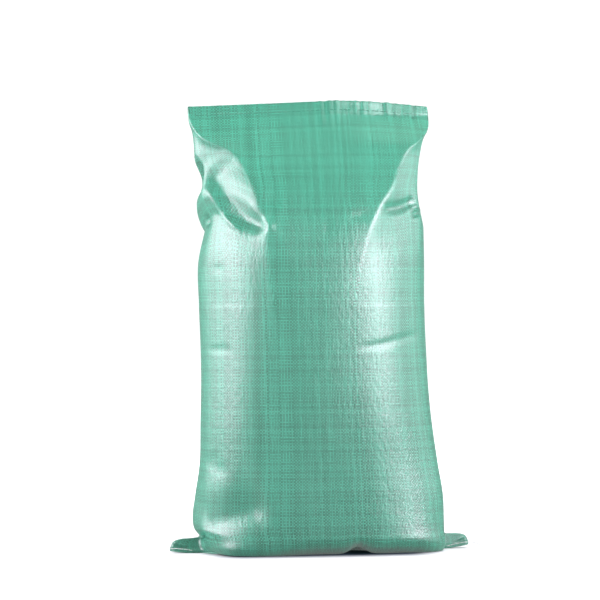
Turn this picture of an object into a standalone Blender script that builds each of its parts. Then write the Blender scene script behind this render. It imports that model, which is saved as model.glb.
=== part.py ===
# A filled fifty-kilogram cement sack, standing upright on its sewn bottom.
#
# The sack is a tube of woven polypropylene tape, 550 mm wide when it lies flat. Its bottom is
# folded and sewn with white thread, so two ears stick out at the bottom corners. The upper part
# is empty: it tapers to a flat, hemmed mouth, and its sides fold inwards as gussets.
# Metres, +Z up, the front faces -Y, and the origin is on the floor under the middle.

from math import pi

import bmesh
import bpy
import numpy as np

# The cloth
FLAT_WIDTH = 0.550                     # ear to ear, as the empty sack lies flat
QUARTER = FLAT_WIDTH / 2               # cloth from the middle of the front to a side fold
HEIGHT = 0.822                         # floor to the highest point of the mouth
HEM_HEIGHT = 0.024
HEM_FOOT = HEIGHT - HEM_HEIGHT
MOUTH_THICKNESS = 0.016                # two hems and the gussets between them
MOUTH_LEAN = -0.012                    # the mouth leans towards the front
LEAN_START = 0.588
MOUTH_PEAK_X = 0.055                   # the mouth's highest point lies right of the middle
LEFT_DROP, RIGHT_DROP = 0.0115, 0.0085  # how much lower the mouth's corners hang
LEFT_HALF, RIGHT_HALF = 0.262, 0.153   # from the highest point to each corner
PEAK_ROUND = 0.030                     # how wide the highest point is rounded
BEND_FOOT = 0.735                      # above this height the mouth's right half bends back
BEND_START_X, BEND_REACH, BEND_BACK = 0.020, 0.180, 0.044

# The sack's middle at four heights
MIDDLE_LINE = ((0.0, 0.003), (0.3, -0.006), (0.6, -0.011), (HEIGHT, -0.0125))

# The filled body: height, left edge, right edge, half depth, squareness of the section
BODY = (
    (0.000, -0.212, 0.224, 0.104, 4.6),
    (0.012, -0.216, 0.226, 0.108, 4.1),
    (0.028, -0.220, 0.226, 0.111, 3.6),
    (0.042, -0.229, 0.226, 0.112, 3.3),
    (0.062, -0.232, 0.226, 0.113, 3.1),
    (0.100, -0.227, 0.225, 0.115, 2.9),
    (0.160, -0.218, 0.216, 0.120, 2.6),
    (0.240, -0.216, 0.206, 0.127, 2.4),
    (0.350, -0.215, 0.199, 0.132, 2.25),
    (0.450, -0.217, 0.195, 0.134, 2.2),
    (0.530, -0.218, 0.195, 0.131, 2.2),
    (0.590, -0.206, 0.195, 0.123, 2.2),
)

# The empty neck: height, left edge, right edge, half depth of the front panel, the panel's
# crease as a share of the half width on the left and on the right, half depth at the side edge
NECK = (
    (0.450, -0.217, 0.195, 0.134, 0.40, 0.30, 0.075),
    (0.530, -0.218, 0.195, 0.131, 0.45, 0.38, 0.070),
    (0.590, -0.206, 0.195, 0.123, 0.48, 0.48, 0.062),
    (0.612, -0.216, 0.191, 0.116, 0.49, 0.54, 0.060),
    (0.630, -0.221, 0.188, 0.109, 0.51, 0.60, 0.056),
    (0.655, -0.219, 0.185, 0.097, 0.535, 0.70, 0.047),
    (0.695, -0.215, 0.185, 0.073, 0.62, 0.79, 0.032),
    (0.725, -0.227, 0.189, 0.056, 0.69, 0.85, 0.023),
    (0.755, -0.227, 0.195, 0.038, 0.90, 0.96, 0.016),
    (0.776, -0.228, 0.206, 0.026, 0.985, 0.99, 0.011),
    (HEM_FOOT, -0.234, 0.210, MOUTH_THICKNESS / 2, 1.00, 1.00, 0.005),
    (HEIGHT, -0.235, 0.208, MOUTH_THICKNESS / 2, 1.00, 1.00, 0.005),
)
FOLD_START = 0.470                     # the round section starts to turn into the folded one
FOLD_END = 0.640
GUSSET_START, GUSSET_END = 0.580, 0.705  # the sides begin to fold inwards, and are folded
SIDE_ROUND = 0.014                     # how far a side bulges where it isn't folded yet

# The side folds run lower towards the back: their slope, and the heights where it comes and goes
LEFT_SLANT, RIGHT_SLANT = -0.38, -0.22
SLANT_HEIGHTS = (0.49, 0.58, 0.68, 0.77)
SLANT_FROM, SLANT_TO = 0.12, 0.19      # distances from the middle between which it sets in
LEVEL_Y = -0.030                       # the folds keep their height at this depth

# The ears: height, tip, half thickness at the tip and at the root
EARS = (
    (0.000, 0.275, 0.006, 0.011),
    (0.006, 0.274, 0.006, 0.010),
    (0.012, 0.272, 0.005, 0.009),
    (0.017, 0.270, 0.004, 0.009),
    (0.021, 0.265, 0.004, 0.008),
    (0.0245, 0.257, 0.003, 0.007),
    (0.027, 0.246, 0.002, 0.006),
)
EAR_TOP = 0.030
EAR_ROOT = 0.008                       # the ear's root stands this far out of the flank

# The threads
THREAD = 0.0012
CLEARANCE = 0.0003
GROOVE_WIDTH = THREAD + 2 * CLEARANCE  # as deep as it is wide
GROOVE_OVERRUN = 0.020                 # the cutter runs past each ear
LEFT_TAIL = (
    (-0.299, -0.001, 0.0022), (-0.294, 0.000, 0.0030), (-0.288, 0.001, 0.0028), (-0.282, 0.000, 0.0016),
)
RIGHT_TAIL = (
    (0.282, -0.001, 0.0016), (0.288, -0.005, 0.0026), (0.294, -0.011, 0.0020), (0.299, -0.017, 0.0012),
)
HEM_STITCHES_BELOW_EDGE = 0.019

# How finely the sack is divided
PANEL_STEPS = 6
SHOULDER_STEPS = 4
SIDE_STEPS = 4
OUTLINE_SAMPLES = 200
SEAM_POINTS = 12
HEIGHTS = (
    0.000, 0.006, 0.012, 0.017, 0.021, 0.0245, 0.027, EAR_TOP, 0.045, 0.062, 0.085, 0.110, 0.140,
    0.175, 0.215, 0.260, 0.310, 0.360, 0.410, 0.460, 0.505, 0.545, 0.572, 0.590, 0.610, 0.630,
    0.650, 0.672, 0.695, 0.716, 0.738, 0.758, 0.774, 0.788, HEIGHT - HEM_HEIGHT, HEIGHT,
)


def smooth_step(low, high, x):
    t = min(max((x - low) / (high - low), 0.0), 1.0)
    return t * t * (3 - 2 * t)


def station(table, z):
    """The values of a table at height z, read on a smooth curve through its rows."""
    heights = [row[0] for row in table]
    z = min(max(z, heights[0]), heights[-1])
    last = len(table) - 2
    i = min(max(int(np.searchsorted(heights, z, side="right")) - 1, 0), last)
    span = heights[i + 1] - heights[i]
    t = (z - heights[i]) / span
    values = []
    for column in range(1, len(table[0])):
        here, there = table[i][column], table[i + 1][column]
        secant = (there - here) / span
        before = (here - table[i - 1][column]) / (heights[i] - heights[i - 1]) if i > 0 else secant
        after = (table[i + 2][column] - there) / (heights[i + 2] - heights[i + 1]) if i < last else secant
        slope_here = 0.0 if before * secant <= 0 else 2 * before * secant / (before + secant)
        slope_there = 0.0 if after * secant <= 0 else 2 * after * secant / (after + secant)
        values.append(
            (2 * t**3 - 3 * t**2 + 1) * here + (t**3 - 2 * t**2 + t) * span * slope_here
            + (3 * t**2 - 2 * t**3) * there + (t**3 - t**2) * span * slope_there
        )
    return values


def folded_quarter(z, half_width, panel, crease, side):
    """The neck's section from the front's middle to the bottom of the gusset, y away from the middle."""
    used = crease + np.hypot(half_width - crease, panel - side)
    left = QUARTER - used
    folded_in = smooth_step(GUSSET_START, GUSSET_END, z)
    gusset = np.sqrt(max(left**2 - side**2, 0)) * folded_in
    leg = np.linspace(0, 1, 2 * SIDE_STEPS + 1)
    leg_x = half_width - SIDE_ROUND * (1 - folded_in) * (1 - leg) ** 2 - gusset * leg**1.2
    leg_y = side * (1 - leg)
    return np.concatenate([((0.0, panel), (crease, panel)), np.stack([leg_x, leg_y], axis=1)])


def read_along(points, shares):
    """Points at the given shares of a polyline's length."""
    steps = np.hypot(*np.diff(points, axis=0).T)
    length = np.concatenate([[0.0], np.cumsum(steps)])
    at = np.clip(shares, 0, 1) * length[-1]
    return np.stack([np.interp(at, length, points[:, 0]), np.interp(at, length, points[:, 1])], axis=1)


def round_quarter(half_width, half_depth, squareness):
    """The filled body's section, a superellipse from the front's middle to the side."""
    angle = np.linspace(0, pi / 2, OUTLINE_SAMPLES)
    x = half_width * np.sin(angle) ** (2 / squareness)
    y = half_depth * np.cos(angle) ** (2 / squareness)
    return np.stack([x, y], axis=1)


def sack_quarter(z, direction):
    """One quarter of the section at height z on the left (-1) or right (1), its half width and the middle."""
    left, right, panel, left_crease, right_crease, side = station(NECK, z)
    body_left, body_right, body_depth, squareness = station(BODY, z)
    depth = panel
    if z < BODY[-1][0]:
        left, right, depth = body_left, body_right, body_depth
    middle = float(np.interp(z, *np.transpose(MIDDLE_LINE)))
    half_width = middle - left if direction < 0 else right - middle
    crease = (left_crease if direction < 0 else right_crease) * half_width
    corners = folded_quarter(z, half_width, panel, crease, side)
    legs = np.hypot(*np.diff(corners, axis=0).T)
    at_crease, at_side = np.cumsum(legs)[:2] / legs.sum()
    shares = np.concatenate([
        np.linspace(0, at_crease, PANEL_STEPS + 1),
        np.linspace(at_crease, at_side, SHOULDER_STEPS + 1)[1:],
        np.linspace(at_side, 1, SIDE_STEPS + 1)[1:],
    ])
    folded = read_along(corners, shares)
    filled = read_along(round_quarter(half_width, depth, squareness), shares)
    turn = smooth_step(FOLD_START, FOLD_END, z)
    return filled * (1 - turn) + folded * turn, half_width, middle


def add_ear(quarter, z, half_width, reach):
    """Pulls the last points of a low section out into the flat ear of the bottom corner."""
    if z >= EAR_TOP:
        return
    _, tip_half, root_half = station(EARS, z)
    root = half_width + EAR_ROOT
    quarter[-1] = (reach, 0.0)
    quarter[-2] = (max(reach - tip_half / 2, root), tip_half)
    quarter[-3] = (root, root_half)


def mouth_sag(x, z):
    """How far the cloth hangs below its level at distance x, towards the mouth's two corners."""
    off_peak = x - MOUTH_PEAK_X
    if off_peak < 0:
        share = (np.hypot(off_peak, PEAK_ROUND) - PEAK_ROUND) / LEFT_HALF
        sag = LEFT_DROP * share**0.85
    else:
        sag = RIGHT_DROP * (off_peak / RIGHT_HALF) ** 1.5
    return sag * smooth_step(FOLD_END, HEM_FOOT, z)


def side_slant(x, y, z):
    """How far a point near the shoulders is raised or lowered, so that the side folds run aslant."""
    low, full, fading, gone = SLANT_HEIGHTS
    strength = smooth_step(low, full, z) * (1 - smooth_step(fading, gone, z))
    slope = (LEFT_SLANT if x < 0 else RIGHT_SLANT) * smooth_step(SLANT_FROM, SLANT_TO, abs(x))
    return slope * strength * (y - LEVEL_Y)


def sack_ring(z):
    """The closed section at height z, counter-clockwise from the left fold, front first."""
    lean = MOUTH_LEAN * smooth_step(LEAN_START, HEM_FOOT, z)
    bend = BEND_BACK * smooth_step(BEND_FOOT, HEM_FOOT, z)
    sides = []
    for direction in (-1, 1):
        side, half_width, middle = sack_quarter(z, direction)
        if z < EAR_TOP:
            add_ear(side, z, half_width, station(EARS, z)[0] - direction * middle)
        side[:, 0] = side[:, 0] * direction + middle
        sides.append(side)
    front = np.concatenate([sides[0][::-1], sides[1][1:]])
    back = front[1:-1][::-1] * (1, -1)
    front[:, 1] *= -1
    back[:, 1] *= -1
    ring = []
    for x, y in np.concatenate([front, back]):
        bent = bend * (max(x - BEND_START_X, 0) / BEND_REACH) ** 1.2
        ring.append((x, y + lean + bent, z - mouth_sag(x, z) + side_slant(x, y, z)))
    return ring


def new_object(name, mesh, material):
    obj = bpy.data.objects.new(name, mesh)
    bpy.context.scene.collection.objects.link(obj)
    obj.data.materials.append(material)
    return obj


def plain_material(name, colour, roughness):
    material = bpy.data.materials.new(name)
    material.use_nodes = True
    shader = material.node_tree.nodes["Principled BSDF"]
    shader.inputs["Base Color"].default_value = (*colour, 1)
    shader.inputs["Roughness"].default_value = roughness
    shader.inputs["Metallic"].default_value = 0
    return material


def groove_cutter():
    """A long box that leaves room for the sewing thread along the middle of the base."""
    bm = bmesh.new()
    bmesh.ops.create_cube(bm, size=1)
    bmesh.ops.scale(bm, vec=(FLAT_WIDTH + 2 * GROOVE_OVERRUN, GROOVE_WIDTH, 2 * GROOVE_WIDTH), verts=bm.verts)
    mesh = bpy.data.meshes.new("seam_groove_cutter")
    bm.to_mesh(mesh)
    bm.free()
    cutter = bpy.data.objects.new("seam_groove_cutter", mesh)
    bpy.context.scene.collection.objects.link(cutter)
    cutter.hide_render = True
    cutter.display_type = "WIRE"
    return cutter


def make_sack(material):
    bm = bmesh.new()
    rings = [[bm.verts.new(point) for point in sack_ring(z)] for z in HEIGHTS]
    for lower, upper in zip(rings, rings[1:]):
        for i in range(len(lower)):
            j = (i + 1) % len(lower)
            bm.faces.new((lower[i], lower[j], upper[j], upper[i]))
    bm.faces.new(rings[0][::-1])
    bm.faces.new(rings[-1])
    bmesh.ops.recalc_face_normals(bm, faces=bm.faces)
    mesh = bpy.data.meshes.new("sack")
    bm.to_mesh(mesh)
    bm.free()
    mesh.shade_smooth()
    sack = new_object("sack", mesh, material)
    groove = sack.modifiers.new("seam groove", "BOOLEAN")
    groove.operation = "DIFFERENCE"
    groove.object = groove_cutter()
    return sack


def make_thread(name, points, material):
    """A thread as a thin tube along hand-chosen points."""
    curve = bpy.data.curves.new(name, "CURVE")
    curve.dimensions = "3D"
    curve.bevel_depth = THREAD / 2
    curve.bevel_resolution = 1
    curve.use_fill_caps = True
    spline = curve.splines.new("POLY")
    spline.points.add(len(points) - 1)
    for place, point in zip(spline.points, points):
        place.co = (*point, 1)
    return new_object(name, curve, material)


def bottom_seam_route():
    """Along the groove under the base, with a short loose tail past each ear."""
    level = CLEARANCE + THREAD / 2
    ends = FLAT_WIDTH / 2 + THREAD
    seam = [(x, 0.0, level) for x in np.linspace(-ends, ends, SEAM_POINTS)]
    return list(LEFT_TAIL) + seam + list(RIGHT_TAIL)


def hem_route(direction):
    """Across the hem, just clear of the cloth, on the front (-1) or the back (1)."""
    ring = sack_ring(HEIGHT - HEM_STITCHES_BELOW_EDGE)
    count = len(ring) // 2
    side = ring[:count + 1] if direction < 0 else ring[count:] + ring[:1]
    panel = side[SIDE_STEPS + SHOULDER_STEPS:len(side) - SIDE_STEPS - SHOULDER_STEPS]
    off = direction * (THREAD / 2 + CLEARANCE)
    return [(x, y + off, level) for x, y, level in panel]


for old in list(bpy.data.objects):
    bpy.data.objects.remove(old, do_unlink=True)

green_cloth = plain_material("green_woven_cloth", (0.13, 0.40, 0.30), 0.35)
white_thread = plain_material("white_thread", (0.85, 0.85, 0.82), 0.8)
green_thread = plain_material("green_thread", (0.15, 0.42, 0.32), 0.6)

make_sack(green_cloth)
make_thread("bottom_seam_thread", bottom_seam_route(), white_thread)
make_thread("front_hem_thread", hem_route(-1), green_thread)
make_thread("back_hem_thread", hem_route(1), green_thread)
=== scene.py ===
from math import cos, hypot, pi, radians, sin, sqrt

import bmesh
import bpy
import numpy as np
from mathutils import Matrix, Vector, noise


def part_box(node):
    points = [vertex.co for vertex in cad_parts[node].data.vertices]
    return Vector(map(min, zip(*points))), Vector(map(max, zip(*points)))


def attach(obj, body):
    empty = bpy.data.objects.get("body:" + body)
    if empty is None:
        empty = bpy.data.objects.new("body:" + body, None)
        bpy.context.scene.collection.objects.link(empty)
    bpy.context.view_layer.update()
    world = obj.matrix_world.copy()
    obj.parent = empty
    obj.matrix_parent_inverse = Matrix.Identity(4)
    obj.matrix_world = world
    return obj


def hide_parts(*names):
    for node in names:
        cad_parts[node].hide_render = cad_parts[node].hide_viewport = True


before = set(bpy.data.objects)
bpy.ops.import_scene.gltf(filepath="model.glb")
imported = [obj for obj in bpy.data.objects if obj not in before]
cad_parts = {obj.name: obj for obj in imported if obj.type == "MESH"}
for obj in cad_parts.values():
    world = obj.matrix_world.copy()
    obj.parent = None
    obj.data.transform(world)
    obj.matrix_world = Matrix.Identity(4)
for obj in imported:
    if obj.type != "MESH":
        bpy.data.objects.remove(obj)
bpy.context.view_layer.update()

sack_low, sack_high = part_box("sack")

# The place it stands: a plain pale floor with a contact shadow painted into its colour round the sack,
# white surroundings, and two tall soft boxes that give the sack its two upright bands of light.
# The lens is long and looks level at the sack, which stands turned by a few degrees, its left ear nearer.
SIGHT_TURN = radians(5.5)
SIGHT_ROLL = radians(0.5)
SIGHT_DISTANCE = 4.575
SIGHT_HEIGHT = 0.458
SIGHT_LEFT = 0.0326
FOCAL_LENGTH = 150
SENSOR_WIDTH = 36

lens = bpy.data.cameras.new("long_lens")
lens.lens = FOCAL_LENGTH
lens.sensor_width = SENSOR_WIDTH
lens.clip_end = 100
camera = bpy.data.objects.new("camera", lens)
bpy.context.scene.collection.objects.link(camera)
ahead = Vector((sin(SIGHT_TURN), cos(SIGHT_TURN), 0))
rightward = Vector((cos(SIGHT_TURN), -sin(SIGHT_TURN), 0))
camera.matrix_world = (
    Matrix.Translation(-ahead * SIGHT_DISTANCE - rightward * SIGHT_LEFT + Vector((0, 0, SIGHT_HEIGHT)))
    @ Matrix.Rotation(-SIGHT_TURN, 4, "Z")
    @ Matrix.Rotation(pi / 2, 4, "X")
    @ Matrix.Rotation(-SIGHT_ROLL, 4, "Z")
)
bpy.context.scene.camera = camera
bpy.context.scene.view_settings.view_transform = "Standard"

FLOOR_SIZE = 24.0
FLOOR_GAP = 0.0002                        # the floor lies this far below the sack
GLOW_FROM, GLOW_FULL = 0.45, 2.2          # the floor brightens to the white of the surroundings
PAINTED_SHADOW_HALF = (0.145, 0.078, 1.0)         # the floor's colour is painted dark over this much round the sack, a painted contact shadow
PAINTED_SHADOW_REACH = 0.075                       # and the painted shadow fades out over this distance
bm = bmesh.new()
bmesh.ops.create_grid(bm, x_segments=2, y_segments=2, size=FLOOR_SIZE / 2)
bmesh.ops.translate(bm, verts=bm.verts, vec=(0, 0, sack_low[2] - FLOOR_GAP))
floor_mesh = bpy.data.meshes.new("floor")
bm.to_mesh(floor_mesh)
bm.free()
floor = bpy.data.objects.new("floor", floor_mesh)
bpy.context.scene.collection.objects.link(floor)
floor_paint = bpy.data.materials.new("pale_floor_with_painted_shadow")
floor_paint.use_nodes = True
floor_shader = floor_paint.node_tree.nodes["Principled BSDF"]
floor_shader.inputs["Roughness"].default_value = 0.9
floor_shader.inputs["Specular IOR Level"].default_value = 0.1
floor_shader.inputs["Emission Color"].default_value = (1, 1, 1, 1)
floor_nodes = floor_paint.node_tree.nodes
floor_links = floor_paint.node_tree.links


def floor_vector(operation, vector):
    node = floor_nodes.new("ShaderNodeVectorMath")
    node.operation = operation
    floor_links.new(vector, node.inputs[0])
    return node


def floor_fade(low, high, value):
    """0 up to the low value and 1 from the high one on."""
    node = floor_nodes.new("ShaderNodeMapRange")
    node.interpolation_type = "SMOOTHSTEP"
    node.inputs["From Min"].default_value = low
    node.inputs["From Max"].default_value = high
    floor_links.new(value, node.inputs["Value"])
    return node.outputs["Result"]


floor_place = floor_nodes.new("ShaderNodeTexCoord")
from_sack = floor_vector("LENGTH", floor_place.outputs["Object"])
glow = floor_fade(GLOW_FROM, GLOW_FULL, from_sack.outputs["Value"])
floor_links.new(glow, floor_shader.inputs["Emission Strength"])
# Painted contact shadow: the floor's base colour is dark blue-grey in a box round the sack's middle and
# fades to pale beyond it.
from_middle = floor_vector("ABSOLUTE", floor_place.outputs["Object"])
past_half = floor_vector("SUBTRACT", from_middle.outputs["Vector"])
past_half.inputs[1].default_value = PAINTED_SHADOW_HALF
outside_half = floor_vector("MAXIMUM", past_half.outputs["Vector"])
from_half = floor_vector("LENGTH", outside_half.outputs["Vector"])
shade = floor_fade(0, PAINTED_SHADOW_REACH, from_half.outputs["Value"])
floor_and_painted_shadow_colour = floor_nodes.new("ShaderNodeMix")
floor_and_painted_shadow_colour.data_type = "RGBA"
floor_and_painted_shadow_colour.inputs["A"].default_value = (0.05, 0.08, 0.12, 1)
floor_and_painted_shadow_colour.inputs["B"].default_value = (0.93, 0.93, 0.94, 1)
floor_links.new(shade, floor_and_painted_shadow_colour.inputs["Factor"])
floor_links.new(floor_and_painted_shadow_colour.outputs["Result"], floor_shader.inputs["Base Color"])
floor_mesh.materials.append(floor_paint)
floor.visible_glossy = False


def soft_box(name, place, aim, width, height, watts, colour=(1, 1, 1)):
    lamp = bpy.data.lights.new(name, "AREA")
    lamp.shape = "RECTANGLE"
    lamp.size, lamp.size_y = width, height
    lamp.energy = watts
    lamp.color = colour
    box = bpy.data.objects.new(name, lamp)
    bpy.context.scene.collection.objects.link(box)
    box.location = place
    box.rotation_euler = (Vector(aim) - Vector(place)).to_track_quat("-Z", "Y").to_euler()
    return box


SACK_MIDDLE = (0, 0, 0.42)
COOL_WHITE = (0.98, 0.90, 1.0)
soft_box("left_soft_box", (-2.45, -1.20, 1.18), SACK_MIDDLE, 1.30, 1.80, 54, COOL_WHITE)
soft_box("left_side_box", (-2.60, 0.45, 1.18), SACK_MIDDLE, 1.6, 1.80, 35, COOL_WHITE)
soft_box("right_soft_box", (2.00, -2.05, 1.18), SACK_MIDDLE, 1.20, 1.80, 78, COOL_WHITE)
soft_box("right_side_box", (2.60, 0.10, 1.18), SACK_MIDDLE, 1.6, 1.80, 16, COOL_WHITE)
soft_box("top_soft_box", (0, 0.2, 3.0), (0, 0, 0), 2.4, 1.8, 75).visible_glossy = False

FRONT_STRENGTH, BACK_STRENGTH = 0.10, 0.50   # dim in front, so that the two bands stand out
SEEN_STRENGTH = 1.1
surroundings = bpy.data.worlds.new("white_studio")
surroundings.use_nodes = True
bpy.context.scene.world = surroundings
world_nodes = surroundings.node_tree.nodes
world_links = surroundings.node_tree.links
background = world_nodes["Background"]
direction = world_nodes.new("ShaderNodeTexCoord")
split = world_nodes.new("ShaderNodeSeparateXYZ")
world_links.new(direction.outputs["Generated"], split.inputs["Vector"])
from_front = world_nodes.new("ShaderNodeMapRange")
from_front.inputs["From Min"].default_value = -0.75
from_front.inputs["From Max"].default_value = 0.25
from_front.inputs["To Min"].default_value = FRONT_STRENGTH
from_front.inputs["To Max"].default_value = BACK_STRENGTH
world_links.new(split.outputs["Y"], from_front.inputs["Value"])
seen = world_nodes.new("ShaderNodeLightPath")
strength = world_nodes.new("ShaderNodeMix")
strength.data_type = "FLOAT"
world_links.new(seen.outputs["Is Camera Ray"], strength.inputs["Factor"])
world_links.new(from_front.outputs["Result"], strength.inputs["A"])
strength.inputs["B"].default_value = SEEN_STRENGTH
world_links.new(strength.outputs["Result"], background.inputs["Strength"])
background.inputs["Color"].default_value = (1, 1, 1, 1)

# The sack: a tube of plain-woven green tape with a clear skin, 550 mm wide when flat, filled
# and standing. The cloth is drawn round the fill, folded in at the sides of the empty neck,
# turned over and sewn at the mouth, and pinched into an ear at each bottom corner.
QUARTER_CLOTH = 0.275                  # cloth from the middle of the front to a side fold
MOUTH_TOP = sack_high[2]
MOUTH_PEAK_X = 0.055                   # the mouth's highest point lies right of the middle
LEFT_DROP, RIGHT_DROP = 0.0115, 0.0085   # how much lower the mouth's corners hang
LEFT_HALF, RIGHT_HALF = 0.262, 0.153   # from the highest point to each corner
PEAK_ROUND = 0.03
HEM_HEIGHT = 0.024
HEM_FOOT = MOUTH_TOP - HEM_HEIGHT
CLOTH_THICKNESS = 0.0009
MOUTH_LEAN, LEAN_START = -0.012, 0.588
POCKET_DEPTH = 0.050                   # how far down the mouth's inside is modelled
MIDDLE_LINE = np.array(((0.0, 0.003), (0.3, -0.006), (0.6, -0.011), (MOUTH_TOP, -0.0125)))

# Height, left edge, right edge, half depth and squareness of the filled body
BODY = np.array((
    (0.000, -0.210, 0.221, 0.100, 4.6),
    (0.005, -0.213, 0.224, 0.104, 4.4),
    (0.012, -0.216, 0.226, 0.108, 4.1),
    (0.028, -0.219, 0.226, 0.111, 3.6),
    (0.042, -0.229, 0.226, 0.112, 3.3),
    (0.062, -0.232, 0.226, 0.113, 3.1),
    (0.100, -0.227, 0.225, 0.115, 2.9),
    (0.160, -0.218, 0.216, 0.120, 2.6),
    (0.240, -0.216, 0.206, 0.127, 2.4),
    (0.350, -0.215, 0.199, 0.132, 2.25),
    (0.450, -0.217, 0.195, 0.134, 2.2),
    (0.530, -0.218, 0.195, 0.131, 2.2),
    (0.590, -0.206, 0.195, 0.123, 2.2),
))
# Height, left edge, right edge, half depth of the neck's flat panel, its crease as a share of
# the half width on the left and on the right, and half depth at the side edge
NECK = np.array((
    (0.450, -0.217, 0.195, 0.134, 0.40, 0.30, 0.075),
    (0.530, -0.218, 0.195, 0.131, 0.45, 0.38, 0.070),
    (0.590, -0.206, 0.195, 0.123, 0.48, 0.48, 0.062),
    (0.612, -0.216, 0.191, 0.116, 0.49, 0.54, 0.060),
    (0.630, -0.221, 0.188, 0.109, 0.51, 0.60, 0.056),
    (0.655, -0.219, 0.185, 0.097, 0.535, 0.70, 0.047),
    (0.695, -0.215, 0.185, 0.073, 0.62, 0.79, 0.032),
    (0.725, -0.227, 0.189, 0.056, 0.69, 0.85, 0.023),
    (0.755, -0.227, 0.195, 0.038, 0.90, 0.96, 0.016),
    (0.776, -0.228, 0.206, 0.026, 0.985, 0.99, 0.011),
    (HEM_FOOT, -0.234, 0.210, 0.015, 1.00, 1.00, 0.007),
    (MOUTH_TOP, -0.235, 0.208, 0.006, 1.00, 1.00, 0.005),
))
FOLD_START, FOLD_END = 0.470, 0.640
GUSSET_START, GUSSET_END = 0.580, 0.705   # where the sides begin to fold inwards, and are folded
GUSSET_POINTS, GUSSET_CURVE = 9, 1.2
SIDE_ROUND = 0.014
LEFT_SLANT, RIGHT_SLANT = -0.38, -0.22    # the side folds run lower towards the back
LEFT_LEVEL, RIGHT_LEVEL = -0.004, -0.03   # the y at which they keep their height
SLANT_LOW, SLANT_HIGH = (0.49, 0.58), (0.68, 0.77)
SLANT_FROM, SLANT_FULL = 0.12, 0.19       # how far out from the middle they slant

PANEL_STEPS, SHOULDER_STEPS, SIDE_STEPS = 50, 17, 18
QUARTER_STEPS = PANEL_STEPS + SHOULDER_STEPS + SIDE_STEPS
ROUND_POINTS = 400
EAR_TOP = 0.030
heights = np.concatenate([
    np.linspace(0, EAR_TOP, 17), np.linspace(EAR_TOP, 0.10, 25)[1:], np.linspace(0.10, 0.50, 105)[1:],
    np.linspace(0.50, HEM_FOOT, 108)[1:], np.linspace(HEM_FOOT, MOUTH_TOP - 0.001, 11)[1:],
])


def smooth_step(low, high, value):
    t = np.clip((np.asarray(value, dtype=float) - low) / (high - low), 0, 1)
    return t * t * (3 - 2 * t)


def between(here, there, slope_here, slope_there, span, t):
    """The smooth curve's value at share t of the span between two known values and slopes."""
    return (
        (2 * t**3 - 3 * t**2 + 1) * here + (t**3 - 2 * t**2 + t) * span * slope_here
        + (3 * t**2 - 2 * t**3) * there + (t**3 - t**2) * span * slope_there
    )


def station(table, z):
    """The table's values at height z, on a smooth curve through its rows."""
    at = table[:, 0]
    z = min(max(z, at[0]), at[-1])
    last = len(table) - 2
    i = min(max(int(np.searchsorted(at, z, side="right")) - 1, 0), last)
    span = at[i + 1] - at[i]
    t = (z - at[i]) / span
    here, there = table[i, 1:], table[i + 1, 1:]
    secant = (there - here) / span
    before = (here - table[i - 1, 1:]) / (at[i] - at[i - 1]) if i > 0 else secant
    after = (table[i + 2, 1:] - there) / (at[i + 2] - at[i + 1]) if i < last else secant
    return between(here, there, (before + secant) / 2, (secant + after) / 2, span, t)


def read_along(points, shares):
    length = np.concatenate([[0.0], np.cumsum(np.hypot(*np.diff(points, axis=0).T))])
    at = np.clip(shares, 0, 1) * length[-1]
    return np.stack([np.interp(at, length, points[:, 0]), np.interp(at, length, points[:, 1])], axis=1)


def quarter_section(z, side):
    """Section from the panel's middle to the side fold: x outwards, y away from the middle."""
    neck = station(NECK, z)
    body = station(BODY, z)
    left, right = body[:2] if z < BODY[-1, 0] else neck[:2]
    middle = float(np.interp(z, MIDDLE_LINE[:, 0], MIDDLE_LINE[:, 1]))
    half_width = middle - left if side < 0 else right - middle
    panel, edge = neck[2], neck[5]
    crease = neck[3 if side < 0 else 4] * half_width
    used = crease + hypot(half_width - crease, panel - edge)
    rest = QUARTER_CLOTH - used
    folded_in = float(smooth_step(GUSSET_START, GUSSET_END, z))
    gusset = sqrt(max(rest**2 - edge**2, 0)) * folded_in
    leg = np.linspace(0, 1, GUSSET_POINTS)
    leg_x = half_width - SIDE_ROUND * (1 - folded_in) * (1 - leg) ** 2 - gusset * leg**GUSSET_CURVE
    corners = np.concatenate([((0, panel), (crease, panel)), np.stack([leg_x, edge * (1 - leg)], axis=1)])
    legs = np.hypot(*np.diff(corners, axis=0).T)
    at_crease, at_side = np.cumsum(legs)[:2] / legs.sum()
    shares = np.concatenate([
        np.linspace(0, at_crease, PANEL_STEPS + 1),
        np.linspace(at_crease, at_side, SHOULDER_STEPS + 1)[1:],
        np.linspace(at_side, 1, SIDE_STEPS + 1)[1:],
    ])
    folded = read_along(corners, shares)
    angle = np.linspace(0, pi / 2, ROUND_POINTS)
    depth, squareness = (body[2] if z < BODY[-1, 0] else neck[2]), body[3]
    round_x = half_width * np.sin(angle) ** (2 / squareness)
    round_y = depth * np.cos(angle) ** (2 / squareness)
    filled = read_along(np.stack([round_x, round_y], axis=1), shares)
    turn = float(smooth_step(FOLD_START, FOLD_END, z))
    return filled * (1 - turn) + folded * turn, shares, half_width, middle


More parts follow.
